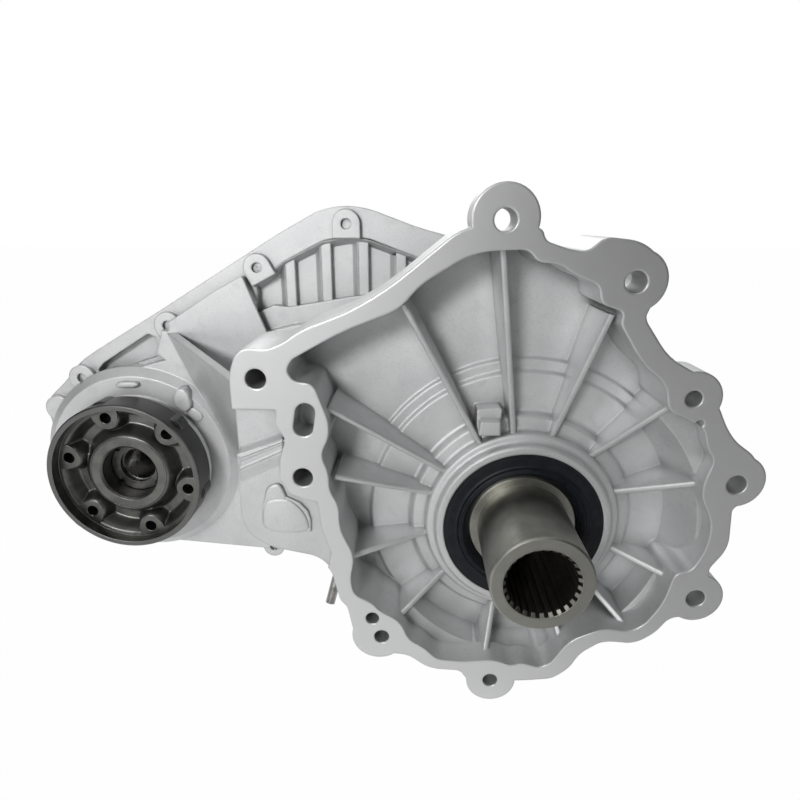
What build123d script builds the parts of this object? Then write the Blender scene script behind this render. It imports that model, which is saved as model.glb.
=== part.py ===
from build123d import *
from math import acos, atan2, cos, degrees, hypot, pi, radians, sin, sqrt, tan
import os

os.makedirs("parts", exist_ok=True)

# Frame, in millimetres: origin at the centre of the bell's mating face on the input axis,
# +X to the viewer's right, +Y towards the rear output, +Z up.

# Shaft axes
front_axis_x = -268.7
front_axis_z = 2.6

# Main gears: drive gear, idler, driven gear
gear_module = 2.5
drive_teeth = 44
idler_teeth = 64
driven_teeth = 44
pressure_angle = 20.0
gear_backlash = 0.20
gear_y0 = 134.0
gear_y1 = 156.0

# Planetary centre differential
diff_module = 1.5
sun_teeth = 33
planet_teeth = 21
ring_teeth = 75
planet_count = 3
diff_backlash = 0.14
sun_y0 = 183.0
sun_y1 = 203.0
planet_width = 18.0

# Bell and its web
bell_depth = 47.0
web_front_y = 39.0
web_disc_r = 91.0
web_disc_rise = 2.2
web_recess_r = 98.6
web_recess_depth = 2.0
rib_base_r = 55.0
rib_base_y = 28.0
rib_end_y = 8.0
rib_half_top = 1.7
rib_half_foot = 3.0
rib_top_edge = 0.7
recess_step = 1.8
bell_reach = 190.0
column_y = 17.0
column_inner_r = 84.0
column_angles = (225.0, 285.0)
bowl_outer_r = 140.0
boss_lug_y = 18.0
boss_lug_step_y = 25.0
lug_depth = 22.0
boss_face_y = 19.2
m10_clear_r = 5.5
m8_clear_r = 4.5
dowel_hole_r = 4.0
m10_head_r = 11.5
m8_head_r = 9.0
pad_depth = 2.0

# Input shaft, its seal and its bearing
tube_front_y = -36.7
tube_r = 27.0
spline_minor_r = 18.3
spline_major_r = 19.8
spline_teeth = 27
spline_y1 = 24.0
journal_r = 32.5
journal_y0 = 22.0
input_seal_r = 47.5
input_bearing_r = 50.0
input_bearing_y0 = 31.0
input_bearing_y1 = 49.0
ring_clear = 0.05

# Gear case
case_front_y = 112.0
cavity_front_y = 118.0
rim_front_y = 120.0
hump_rib_y = 122.5
hump_shelf_y = 120.5
split_y = 132.0
rear_rim_y = 143.0
rear_wall_in_y = 160.0
rear_wall_y = 166.0
case_wall = 6.0
front_cavity_r = 61.5
idler_cavity_r = 85.5
idler_y0 = 126.0
idler_y1 = 157.5
idler_bearings = ((126.0, 141.0), (142.5, 157.5))
input_cavity_r = 64.0
thread_r = 3.4
bolt_r = 3.35
bolt_washer_r = 8.3
rim_bolt_boss_r = 9.5
low_boss_r = 8.3

# Front output
companion_r = 54.0
companion_y0 = 76.7
companion_y1 = 98.4
companion_lip_r = 50.0
companion_seat_y = 85.1
companion_pcd = 86.0
companion_hole_r = 4.0
companion_hole_phase = 104.3
dish_floor_y = 96.0
hub_seat_y = 104.0
output_hub_r = 30.0
front_seal_r = 42.5
front_seal_y0 = 104.0
front_seal_y1 = 113.0
front_bearing_y0 = 115.0
front_bearing_y1 = 131.0

# Rear output
extension_y0 = 176.0
extension_end_y = 262.0
drum_r = 65.0
extension_flange_r = 89.0
extension_bolt_r = 80.5
ring_gear_r = 62.5
rear_bearing_y0 = 230.0
rear_bearing_y1 = 248.0
rear_hub_r = 27.5
rear_flange_y0 = 266.0
rear_flange_y1 = 276.0
rear_nut_y = 268.5
rear_pcd = 105.0
rear_hole_r = 6.1

# Derived centres and radii
drive_r = gear_module * drive_teeth / 2
idler_r = gear_module * idler_teeth / 2
driven_r = gear_module * driven_teeth / 2
axis_distance = hypot(front_axis_x, front_axis_z)
idler_offset = sqrt((drive_r + idler_r) ** 2 - (axis_distance / 2) ** 2)
idler_x = front_axis_x / 2 + idler_offset * front_axis_z / axis_distance
idler_z = front_axis_z / 2 - idler_offset * front_axis_x / axis_distance
carrier_r = diff_module * (sun_teeth + planet_teeth) / 2

A = (0.0, 0.0)
I = (idler_x, idler_z)
F = (front_axis_x, front_axis_z)


def disc(r, y0, y1, at=A, mode=Mode.ADD):
    """A cylinder along Y between two stations."""
    with Locations(Location((at[0], (y0 + y1) / 2, at[1]), (90, 0, 0))):
        Cylinder(r, y1 - y0, mode=mode)


def tube(ro, ri, y0, y1, at=A):
    """A plain ring along Y."""
    with BuildSketch(Plane.XZ.offset(-y1)) as sk:
        with Locations(at):
            Circle(ro)
            Circle(ri, mode=Mode.SUBTRACT)
    extrude(sk.sketch, amount=y1 - y0, dir=(0, -1, 0))


def turned(points, at=A, mode=Mode.ADD):
    """A profile of (radius, y) points turned about the axis through at."""
    with BuildSketch(Plane(origin=(at[0], 0, at[1]), x_dir=(1, 0, 0), z_dir=(0, 0, 1))) as sk:
        with BuildLine():
            Polyline(*points, close=True)
        make_face()
    revolve(sk.sketch, axis=Axis((at[0], 0, at[1]), (0, 1, 0)), mode=mode)


def sector(points, start, end, mode=Mode.ADD):
    """A profile of (radius, y) points turned about the input axis between two angles in degrees."""
    along = (cos(radians(start)), 0, sin(radians(start)))
    across = (-sin(radians(start)), 0, cos(radians(start)))
    with BuildSketch(Plane(origin=(0, 0, 0), x_dir=along, z_dir=across)) as sk:
        with BuildLine():
            Polyline(*points, close=True)
        make_face()
    revolve(sk.sketch, axis=Axis((0, 0, 0), (0, -1, 0)), revolution_arc=end - start, mode=mode)


def rib_section(angle, radius, top_y, foot_y):
    """Cross-section of a drafted rib with a chamfered top, at one radius along it."""
    along = (cos(radians(angle)), 0, sin(radians(angle)))
    across = (-sin(radians(angle)), 0, cos(radians(angle)))
    centre = (radius * along[0], 0, radius * along[2])
    edge = rib_top_edge
    with BuildSketch(Plane(origin=centre, x_dir=across, z_dir=along)) as sk:
        with BuildLine():
            Polyline(
                (-rib_half_foot, -foot_y), (-rib_half_top, -top_y - edge), (edge - rib_half_top, -top_y),
                (rib_half_top - edge, -top_y), (rib_half_top, -top_y - edge), (rib_half_foot, -foot_y),
                close=True,
            )
        make_face()
    return sk.sketch


def plate(points, y0, y1, radius=0.0, mode=Mode.ADD):
    """A straight-sided outline given as (x, z) points, extruded along Y."""
    with BuildSketch(Plane.XZ.offset(-y1)) as sk:
        with BuildLine():
            Polyline(*points, close=True)
        make_face()
        if radius > 0:
            fillet(sk.vertices(), radius=radius)
    extrude(sk.sketch, amount=y1 - y0, dir=(0, -1, 0), mode=mode)


def flowing(points, y0, y1, mode=Mode.ADD, share=0.42):
    """An outline whose corners are rounded as far as their sides allow, extruded along Y."""
    count = len(points)
    starts, ends = [], []
    for i in range(count):
        (ax, az), (px, pz), (bx, bz) = points[i - 1], points[i], points[(i + 1) % count]
        before, after = hypot(ax - px, az - pz), hypot(bx - px, bz - pz)
        reach = share * min(before, after)
        starts.append((px + (ax - px) * reach / before, pz + (az - pz) * reach / before))
        ends.append((px + (bx - px) * reach / after, pz + (bz - pz) * reach / after))
    with BuildSketch(Plane.XZ.offset(-y1)) as sk:
        with BuildLine():
            for i in range(count):
                (ax, az), (px, pz), (bx, bz) = points[i - 1], points[i], points[(i + 1) % count]
                turn = (px - ax) * (bz - pz) - (pz - az) * (bx - px)
                size = hypot(px - ax, pz - az) * hypot(bx - px, bz - pz)
                if abs(turn) > 0.02 * size:
                    TangentArc(starts[i], ends[i], tangent=(px - ax, pz - az))
                else:
                    Line(starts[i], ends[i])
                Line(ends[i], starts[(i + 1) % count])
        make_face()
    extrude(sk.sketch, amount=y1 - y0, dir=(0, -1, 0), mode=mode)


def hull_of(circles):
    """Outline round several (x, z, r) circles, as a sketch on the XZ plane at y = 0."""
    with BuildSketch(Plane.XZ) as sk:
        for x, z, r in circles:
            with Locations((x, z)):
                Circle(r)
        make_hull()
    return sk.sketch


def hull_plate(circles, y0, y1, mode=Mode.ADD):
    """A hull of circles extruded along Y."""
    outline = hull_of(circles).moved(Location((0, y1, 0)))
    extrude(outline, amount=y1 - y0, dir=(0, -1, 0), mode=mode)


def flank_angle(r, pitch_r, base_r, half_at_pitch):
    """Half the tooth's angle at radius r on an involute gear."""
    phi_p = acos(base_r / pitch_r)
    phi = acos(min(1.0, base_r / r))
    return half_at_pitch + (tan(phi_p) - phi_p) - (tan(phi) - phi)


def polar(r, angle):
    return (r * cos(angle), r * sin(angle))


def gear_sketch(module, teeth, phase_deg, at, tip_r, root_r, thicken=0.0):
    """Involute gear outline on the XZ plane: one arc for each flank, tip and root."""
    pitch_r = module * teeth / 2
    base_r = pitch_r * cos(radians(pressure_angle))
    half = (pi * module / 2 + thicken) / 2 / pitch_r
    low_r = max(base_r, root_r)
    mid_r = (low_r + tip_r) / 2
    h_low = flank_angle(low_r, pitch_r, base_r, half)
    h_mid = flank_angle(mid_r, pitch_r, base_r, half)
    h_tip = flank_angle(tip_r, pitch_r, base_r, half)
    step = 2 * pi / teeth
    with BuildSketch(Plane.XZ) as sk:
        with BuildLine() as outline:
            for i in range(teeth):
                c = radians(phase_deg) + i * step
                if root_r < base_r - 1e-6:
                    Line(polar(root_r, c - h_low), polar(low_r, c - h_low))
                ThreePointArc(polar(low_r, c - h_low), polar(mid_r, c - h_mid), polar(tip_r, c - h_tip))
                ThreePointArc(polar(tip_r, c - h_tip), polar(tip_r, c), polar(tip_r, c + h_tip))
                ThreePointArc(polar(tip_r, c + h_tip), polar(mid_r, c + h_mid), polar(low_r, c + h_low))
                if root_r < base_r - 1e-6:
                    Line(polar(low_r, c + h_low), polar(root_r, c + h_low))
                ThreePointArc(
                    polar(root_r, c + h_low), polar(root_r, c + step / 2), polar(root_r, c + step - h_low)
                )
        make_face()
    return sk.sketch.moved(Location((at[0], 0, at[1])))


def gear_teeth(module, teeth, phase_deg, at, y0, y1, backlash):
    """External gear blank with its teeth."""
    pitch_r = module * teeth / 2
    tip_r = pitch_r + 0.98 * module
    sk = gear_sketch(module, teeth, phase_deg, at, tip_r, pitch_r - 1.25 * module, -backlash / 2)
    extrude(sk.moved(Location((0, y1, 0))), amount=y1 - y0, dir=(0, -1, 0))


def next_phase(phase_a, teeth_a, teeth_b, line_deg):
    """Phase that puts gear b in mesh with gear a, b lying in the direction line_deg from a."""
    pitch = 360.0 / teeth_a
    e = (phase_a - line_deg + pitch / 2) % pitch - pitch / 2
    return line_deg + 180.0 + 180.0 / teeth_b - e * teeth_a / teeth_b


def bearing(bore_r, outer_r):
    """Radius of a ball bearing's ball circle and of its balls."""
    mid = (bore_r + outer_r) / 2
    wall = outer_r - bore_r
    return mid, 0.27 * wall


def outer_race(bore_r, outer_r, y0, y1, at=A):
    mid, ball_r = bearing(bore_r, outer_r)
    tube(outer_r, mid + 0.45 * ball_r, y0, y1, at)
    groove(mid, ball_r + ring_clear, (y0 + y1) / 2, at)


def inner_race(bore_r, outer_r, y0, y1, at=A):
    mid, ball_r = bearing(bore_r, outer_r)
    tube(mid - 0.45 * ball_r, bore_r, y0, y1, at)
    groove(mid, ball_r, (y0 + y1) / 2, at)


def groove(mid, r, y, at):
    with BuildSketch(Plane(origin=(at[0], 0, at[1]), x_dir=(1, 0, 0), z_dir=(0, 0, 1))) as sk:
        with Locations((mid, y)):
            Circle(r)
    revolve(sk.sketch, axis=Axis((at[0], 0, at[1]), (0, 1, 0)), mode=Mode.SUBTRACT)


def ball_set(bore_r, outer_r, y0, y1, count, at=A):
    mid, ball_r = bearing(bore_r, outer_r)
    for i in range(count):
        a = 2 * pi * i / count
        with Locations((at[0] + mid * cos(a), (y0 + y1) / 2, at[1] + mid * sin(a))):
            Sphere(ball_r - 0.02)


def lip_seal(lip_r, outer_r, y0, y1, at=A):
    """Rubber-covered radial shaft seal: outer case, web at the air side and a sprung lip."""
    turned(
        [
            (lip_r + 0.15, y0 + 3.0),
            (lip_r + 2.2, y0 + 0.6),
            (outer_r - 5.0, y0 + 0.6),
            (outer_r - 4.0, y0),
            (outer_r, y0),
            (outer_r, y1),
            (outer_r - 2.2, y1),
            (outer_r - 2.2, y0 + 3.0),
            (lip_r + 4.2, y0 + 3.0),
            (lip_r + 3.6, y0 + 6.6),
            (lip_r + 1.0, y0 + 6.6),
            (lip_r + 0.15, y0 + 5.0),
        ],
        at,
    )


def hex_bolts(spots, head_y, shank_y, shank_r, head_af, head_h, washer_r):
    """Flanged hexagon bolts with their heads at the rear."""
    for spot in spots:
        disc(shank_r, shank_y, head_y + 0.5, spot)
        disc(washer_r, head_y, head_y + 1.6, spot)
        with BuildSketch(Plane.XZ.offset(-(head_y + 1.6 + head_h))) as sk:
            with Locations(spot):
                RegularPolygon(head_af / 2, 6, major_radius=False)
        extrude(sk.sketch, amount=head_h + 0.4, dir=(0, -1, 0))


# Bell flange: bolt spots, face outline and inside outline as (x, z)
m10_spots = [
    (-22.6, 175.7), (42.2, 146.7), (108.9, 39.0), (97.8, -33.2), (-126.1, 40.8), (-148.1, 96.6),
]
m8_spots = [(78.8, 87.3), (-17.8, -93.9), (-83.9, -63.1)]
bell_dowel_spot = (-89.3, -50.2)
lugs = [
    (-22.6, 176.3, 16.5),
    (42.2, 147.2, 15.5),
    (78.9, 87.4, 14.6),
    (108.9, 41.0, 15.0),
    (97.8, -32.6, 15.4),
    (-17.5, -93.6, 14.8),
    (-85.5, -62.0, 16.0),
]
bell_outline = [
    (-47, 169), (-41, 172), (-5, 172), (-3, 166), (9, 162), (17, 161), (25, 168), (43, 166), (55, 156),
    (55, 146), (49, 130), (50, 127), (63, 109), (80, 100), (92, 84), (98, 72), (104, 64), (118, 54),
    (119, 30), (112, 27), (109, 24), (111, 0), (102, -14), (104, -22), (98, -46), (85, -46),
    (78, -57), (70, -63), (64, -65), (52, -64), (46, -65), (35, -73), (30, -83), (25, -88),
    (19, -92), (0, -94), (-32, -94), (-36, -87), (-55, -86), (-68, -76), (-78, -75), (-99, -68),
    (-104, -42), (-108, -38), (-114, -11), (-147, -4), (-158, 3), (-163, 14), (-162, 42), (-162, 99),
    (-158, 110), (-152, 113), (-142, 112), (-134, 115), (-124, 122), (-98, 132), (-78, 144),
]
bell_inside = [
    (-11, 162), (-37, 161), (-63, 145), (-73, 133), (-102, 122), (-129, 107), (-132, 101), (-128, 95),
    (-118, 94), (-111, 74), (-111, 65), (-116, 54), (-112, 44), (-112, 33), (-107, 24), (-107, 9),
    (-99, -8), (-102, -24), (-100, -34), (-89, -40), (-85, -45), (-73, -52), (-68, -65), (-58, -71),
    (-51, -79), (-34, -81), (-15, -79), (-5, -83), (2, -81), (12, -84), (18, -81), (28, -64),
    (48, -55), (63, -57), (71, -52), (80, -37), (84, -17), (93, -15), (99, -1), (100, 15),
    (90, 34), (95, 53), (90, 60), (87, 71), (78, 76), (67, 80), (64, 95), (50, 106),
    (37, 126), (38, 132), (26, 136), (25, 145), (12, 150), (5, 155), (-6, 156),
]
rib_angles = [97.7, 118, 145.3, 161.3, 187.8, 217.5, 256, 290, 317, 343, 20.8, 48.5, 74.8]
rib_reach = [163, 152, 137, 116, 102, 96, 84, 78, 84, 92, 100, 106, 134]

# Curved walls of the bell's lower and right side: start and end angle, radius at the web, radius
# and depth of the ledge below the scalloped mouth
bell_bowls = [
    (217.5, 343, 84.0, 84.8, 17.0), (343, 380.8, 87.0, 98.0, 11.0), (380.8, 408.5, 89.0, 99.5, 11.0),
]

# Gear case rim outline as (x, z), from the left lug over the hump and round the input side
rim_outline = [
    (-340, 28), (-342, 38), (-338, 49), (-325, 60), (-311, 76), (-295, 86), (-243, 116), (-205, 139),
    (-158, 167), (-130, 182), (-113, 185), (-97, 183), (-62, 170), (-38, 164), (0, 150), (50, 104),
    (80, 62), (90, 20), (90, -30), (72, -66), (30, -86), (-60, -92), (-140, -86), (-200, -71),
    (-250, -66), (-292, -65), (-322, -60), (-336, -40), (-339, 0),
]
nose_pocket = [(-302, 66), (-294, 75), (-258, 97), (-252, 94), (-253, 80), (-276, 73)]
hump_inside = [
    (-176, 133), (-156, 148), (-128, 162), (-112, 165), (-96, 163), (-62, 150), (-34, 143), (-4, 128),
    (22, 104), (24, 90), (-178, 100),
]
hump_shelf = [
    (-176, 113), (-165.6, 117.5), (-153.5, 116.4), (-140.4, 118.6), (-115.1, 123), (-94, 126), (-94, 96),
    (-176, 96),
]
case_bolt_spots = [
    (-112.0, 173.0), (-174.5, 144.0), (-241.5, 103.5), (-309.5, 64.5), (-327.0, -50.0), (-176.5, -74.5),
    (-118.0, -83.0), (-45.0, -84.0), (28.0, -78.0), (79.0, -30.0), (76.0, 38.0), (42.0, 92.0),
    (-32.0, 153.0),
]
low_bolt_spot = case_bolt_spots[5]
case_dowel_spots = [(-331.0, 41.0), (76.0, 5.0)]
boss_lug_front = [(-28.6, 59.3), (-16.6, 59.3), (-17.0, 67.2), (-28.0, 67.2)]
boss_lug_back = [(-29.2, 60.0), (-16.2, 60.0), (-15.2, 73.6), (-29.6, 72.4)]
cast_pad = [
    (-170, 50.5), (-134.5, 63), (-138, 52), (-139, 40), (-134, 31), (-126, 27.5), (-118.5, 26), (-117, 10),
    (-112, -6), (-114, -16), (-150, -12), (-170, 0),
]
cast_pocket = [(-170, 80), (-138.5, 79.8), (-139.5, 72), (-134.5, 63), (-170, 50.5)]
pad_emblem = [
    (-150, 9), (-149.6, 23.3), (-147.4, 30.1), (-143.8, 34), (-139.8, 35), (-138, 29.6), (-128.7, 24.8),
    (-124.5, 19.9), (-123.1, 14.3), (-123.4, 6.6),
]
gusset_corners = [Vector(-239, 114, 100), Vector(-198, 114, 2), Vector(-158, 36, 75.5)]
gusset_thickness = 5.0
gear_hull = [(F[0], F[1], front_cavity_r), (I[0], I[1], idler_cavity_r), (A[0], A[1], input_cavity_r)]
case_hull = [(x, z, r + case_wall) for x, z, r in gear_hull]

with BuildPart() as web_detail:
    # Raised disc and radial ribs on the bell's web, and the bowl-shaped walls below the ledges
    turned([
        (rib_base_r, web_front_y - web_disc_rise), (web_disc_r, web_front_y - web_disc_rise),
        (web_disc_r + web_disc_rise, web_front_y), (web_disc_r + web_disc_rise, web_front_y + 2),
        (rib_base_r, web_front_y + 2),
    ])
    for start, end, floor_r, ledge_r, ledge_y in bell_bowls:
        sector(
            [(floor_r, web_front_y + 2), (ledge_r, ledge_y), (bowl_outer_r, ledge_y),
             (bowl_outer_r, web_front_y + 2)],
            start, end,
        )
    for angle, reach in zip(rib_angles, rib_reach):
        inner = rib_section(angle, rib_base_r, rib_base_y, web_front_y + 4)
        outer = rib_section(angle, reach, rib_end_y, web_front_y + 4)
        loft(sections=[inner, outer], ruled=True)
    flowing(bell_outline, 0, bell_depth, Mode.INTERSECT)

with BuildPart() as web_recess:
    # Shallow recess of the upper web, outside the ring step
    floor_y = web_front_y + web_recess_depth
    sector(
        [(web_recess_r, web_front_y - 1), (web_recess_r, web_front_y), (web_recess_r + recess_step, floor_y),
         (bell_reach, floor_y), (bell_reach, web_front_y - 1)],
        rib_angles[11], rib_angles[2],
    )
    flowing(bell_inside, web_front_y - 2, floor_y + 1, Mode.INTERSECT)

with BuildPart() as front_housing:
    # Bell wall and web
    flowing(bell_outline, 0, bell_depth)
    for x, z, r in lugs:
        disc(r, 0, lug_depth, (x, z))
    flowing(bell_inside, -1, web_front_y, Mode.SUBTRACT)
    sector(
        [(0, column_y), (column_inner_r, column_y), (column_inner_r, web_front_y), (0, web_front_y)],
        column_angles[0], column_angles[1], Mode.SUBTRACT,
    )
    add(web_recess.part, mode=Mode.SUBTRACT)
    # Neck from the bell back to the gear case, and the gear case itself
    neck = [(A[0], A[1], 78.0), (-128.0, 62.0, 34.0), (-128.0, 20.0, 34.0)]
    neck_inside = [(x, z, r - case_wall) for x, z, r in neck]
    hull_plate(neck, bell_depth - 2, case_front_y + 2)
    hull_plate(case_hull, case_front_y, split_y)
    flowing(rim_outline, rim_front_y, split_y)
    panel = [(-250, 84), (-243, 104), (-205, 128), (-184, 139), (-168, 96), (-190, 40)]
    plate(panel, case_front_y, split_y, 2.0)
    # Nose round the front output
    turned(
        [(0, 103.5), (49, 103.5), (52, 106), (66, 106), (72, 112), (72, split_y), (0, split_y)],
        F,
    )
    # Pocket between the rim and the nose
    plate(nose_pocket, rim_front_y - 1, split_y - 5, 2.0, Mode.SUBTRACT)
    # Hump: recessed panel crossed by upright ribs, with a shelf below its pockets
    plate(hump_inside, rim_front_y - 6, split_y - 5, 3.0, Mode.SUBTRACT)
    hull_plate(case_hull, case_front_y, split_y)
    plate(hump_shelf, hump_shelf_y, split_y, 1.0)
    for x, top in ((-152.5, 157), (-127, 168), (-101, 170), (-75, 161), (-49, 152), (-24, 144)):
        plate([(x - 3.5, 96), (x + 3.5, 96), (x + 3.5, top), (x - 3.5, top)], hump_rib_y, split_y)
    # Bolt bosses on the rim, three of them drawn out towards the case
    for spot in case_bolt_spots + case_dowel_spots:
        disc(low_boss_r if spot == low_bolt_spot else rim_bolt_boss_r, 116, split_y, spot)
    for spot, angle in zip(case_bolt_spots[:3], (-90, -62, -60)):
        away = polar(rim_bolt_boss_r, radians(angle))
        side = polar(rim_bolt_boss_r, radians(angle + 90))
        plate(
            [(spot[0] + side[0], spot[1] + side[1]), (spot[0] - side[0], spot[1] - side[1]),
             (spot[0] - side[0] + away[0], spot[1] - side[1] + away[1]),
             (spot[0] + side[0] + away[0], spot[1] + side[1] + away[1])],
            116, split_y,
        )
    # Inside of the gear case and the neck
    hull_plate(gear_hull, cavity_front_y, split_y + 1, Mode.SUBTRACT)
    hull_plate(neck_inside, bell_depth, case_front_y, Mode.SUBTRACT)
    # Seal and bearing boss in the web, with two turned steps
    turned(
        [(40, boss_face_y), (51.2, boss_face_y), (52.4, 20.4), (52.8, 23.4), (53.8, 24.4), (56.8, 24.8),
         (57.8, 25.8), (58.4, 30.0), (59.6, 31.0), (65.4, 31.6), (66.8, 33.0), (68.2, 36.0), (72.0, 38.4),
         (72.0, 47), (60, 50), (60, 56), (40, 56)],
    )
    add(web_detail.part)
    # Square lug beside the boss, and the web that braces the bell against the case
    plate(boss_lug_front, boss_lug_y, 42)
    plate(boss_lug_back, boss_lug_step_y, 42, 1.5)
    foot_top, foot_low, bell_end = gusset_corners
    along = foot_low - foot_top
    gusset_plane = Plane(origin=foot_top, x_dir=along, z_dir=along.cross(bell_end - foot_top))
    with BuildSketch(gusset_plane) as gusset:
        with BuildLine():
            local = [gusset_plane.to_local_coords(corner) for corner in gusset_corners]
            Polyline(*[(corner.X, corner.Y) for corner in local], close=True)
        make_face()
    extrude(gusset.sketch, amount=gusset_thickness / 2, both=True)
    # Bearing seats on the three axes
    disc(52.0, 114, 130, A)
    disc(34.0, 114, 124, I)
    disc(45.0, 112, split_y, F)
    disc(input_seal_r, boss_face_y - 1, 29.5, A, Mode.SUBTRACT)
    disc(45.0, 29, 32, A, Mode.SUBTRACT)
    disc(input_bearing_r, input_bearing_y0, 60, A, Mode.SUBTRACT)
    disc(input_bearing_r + 2.0, 49.3, 51.3, A, Mode.SUBTRACT)
    disc(40.0, 100, 140, A, Mode.SUBTRACT)
    disc(45.0, 117, 140, A, Mode.SUBTRACT)
    disc(20.0, 114, 140, I, Mode.SUBTRACT)
    disc(front_seal_r, 100, 113.5, F, Mode.SUBTRACT)
    disc(34.0, 110, 140, F, Mode.SUBTRACT)
    disc(37.5, 115, 140, F, Mode.SUBTRACT)
    # Cast pad left of the milled face, a deeper pocket above it and a raised patch on it
    plate(cast_pad, -1, pad_depth, 1.0, Mode.SUBTRACT)
    plate(cast_pocket, -1, 3 * pad_depth, 1.0, Mode.SUBTRACT)
    plate(pad_emblem, pad_depth - 1.2, pad_depth + 1, 0.8)
    # Bolt holes, open behind their lugs for the bolt heads
    for spot in m10_spots[:4]:
        disc(m10_clear_r, -1, lug_depth + 30, spot, Mode.SUBTRACT)
        disc(m10_head_r, lug_depth, bell_depth + 12, spot, Mode.SUBTRACT)
    for spot in m10_spots[4:]:
        disc(m10_clear_r, -1, 30, spot, Mode.SUBTRACT)
    for spot in m8_spots:
        disc(m8_clear_r, -1, lug_depth + 30, spot, Mode.SUBTRACT)
        disc(m8_head_r, lug_depth, bell_depth + 12, spot, Mode.SUBTRACT)
    disc(dowel_hole_r, -1, 16, bell_dowel_spot, Mode.SUBTRACT)
    disc(2.2, -1, 9, (84.0, 73.7), Mode.SUBTRACT)
    with BuildSketch(Plane.XZ.offset(-20)) as slot:
        with Locations(Location((-123.8, 74.2, 0), (0, 0, 80))):
            SlotOverall(19, 10.8)
    extrude(slot.sketch, amount=22, dir=(0, -1, 0), mode=Mode.SUBTRACT)
    for spot in case_bolt_spots:
        disc(thread_r, 110, 140, spot, Mode.SUBTRACT)
    for spot in case_dowel_spots:
        disc(4.0, 122, 140, spot, Mode.SUBTRACT)
front_housing.part.label = "front_housing"
export_step(front_housing.part, "parts/front_housing.step")

with BuildPart() as rear_housing:
    # Rim, box of the gear case and hump chamber
    flowing(rim_outline, split_y, rear_rim_y)
    hull_plate(case_hull, split_y, rear_wall_y)
    plate(
        [(-186, 124), (-160, 143), (-130, 158), (-112, 161), (-95, 159), (-62, 146), (-30, 137), (0, 122),
         (30, 90), (-190, 90)],
        split_y, rear_wall_y, 6.0,
    )
    for spot in case_bolt_spots + case_dowel_spots:
        disc(rim_bolt_boss_r, split_y, 146, spot)
    hull_plate(gear_hull, split_y - 1, rear_wall_in_y, Mode.SUBTRACT)
    plate(
        [(-174, 122), (-154, 138), (-129, 151), (-112, 154), (-96, 152), (-65, 140), (-34, 131), (-6, 116),
         (16, 80), (-174, 80)],
        split_y - 1, rear_wall_in_y, 4.0, Mode.SUBTRACT,
    )
    # Stiffening ribs outside the rear wall
    for x0, z0, x1, z1 in ((-190, 60, -60, 60), (-200, 20, -84, 20), (-190, -20, -84, -20)):
        plate([(x0, z0 - 3), (x1, z1 - 3), (x1, z1 + 3), (x0, z0 + 3)], rear_wall_y - 2, 174)
    # Seats for the bearings and the extension's flange
    disc(extension_flange_r, 158, extension_y0, A)
    disc(33.0, 158.8, 172, I)
    disc(42.0, 158, 180, F)
    hull_plate([(0, 0, input_cavity_r)], split_y - 1, rear_wall_in_y, Mode.SUBTRACT)
    disc(41.0, 150, 180, A, Mode.SUBTRACT)
    disc(45.0, 150, 173, A, Mode.SUBTRACT)
    disc(20.0, 150, 168, I, Mode.SUBTRACT)
    disc(34.0, 150, 175, F, Mode.SUBTRACT)
    for spot in case_bolt_spots:
        disc(m8_clear_r, 130, 150, spot, Mode.SUBTRACT)
        disc(bolt_washer_r + 0.4, 146, 156, spot, Mode.SUBTRACT)
    for spot in case_dowel_spots:
        disc(4.0, 130, 140, spot, Mode.SUBTRACT)
    for i in range(8):
        disc(thread_r, 164, 180, polar(extension_bolt_r, radians(22.5 + 45 * i)), Mode.SUBTRACT)
    # Bosses and threads for the fill and drain plugs
    disc(15.0, 158, 171, (-196.0, 40.0))
    disc(15.0, 158, 171, (-120.0, -56.0))
    disc(9.0, 150, 175, (-196.0, 40.0), Mode.SUBTRACT)
    disc(9.0, 150, 175, (-120.0, -56.0), Mode.SUBTRACT)
rear_housing.part.label = "rear_housing"
export_step(rear_housing.part, "parts/rear_housing.step")

with BuildPart() as extension_housing:
    turned(
        [
            (extension_flange_r, extension_y0), (extension_flange_r, extension_y0 + 10),
            (drum_r + 6, extension_y0 + 10), (drum_r + 6, 226),
            (62, 232), (47, 236), (47, extension_end_y), (40, extension_end_y), (40, 251.5), (36.5, 251.5),
            (36.5, 248.4), (40, 248.4), (40, 225), (drum_r, 225), (drum_r, extension_y0),
        ]
    )
    for i in range(8):
        a = radians(22.5 + 45 * i)
        disc(m8_clear_r, extension_y0 - 1, extension_y0 + 12, polar(extension_bolt_r, a), Mode.SUBTRACT)
        b = radians(45 * i)
        web_plane = Plane(origin=(0, 0, 0), x_dir=(cos(b), 0, sin(b)), z_dir=(-sin(b), 0, cos(b)))
        with BuildSketch(web_plane) as web:
            with BuildLine():
                Polyline(
                    (69, 184), (80, 184), (72, 222), (62, 234), (47, 246), (45, 246), (45, 233), (69, 224),
                    close=True,
                )
            make_face()
        extrude(web.sketch, amount=2.5, both=True)
extension_housing.part.label = "extension_housing"
export_step(extension_housing.part, "parts/extension_housing.step")

# Seals
with BuildPart() as input_seal:
    lip_seal(journal_r, input_seal_r, boss_face_y, boss_face_y + 9.8)
input_seal.part.label = "input_seal"
export_step(input_seal.part, "parts/input_seal.step")

with BuildPart() as front_output_seal:
    lip_seal(output_hub_r, front_seal_r, front_seal_y0, front_seal_y1, F)
front_output_seal.part.label = "front_output_seal"
export_step(front_output_seal.part, "parts/front_output_seal.step")

with BuildPart() as rear_output_seal:
    lip_seal(rear_hub_r, 40.0, 252.0, 261.0)
rear_output_seal.part.label = "rear_output_seal"
export_step(rear_output_seal.part, "parts/rear_output_seal.step")

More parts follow.
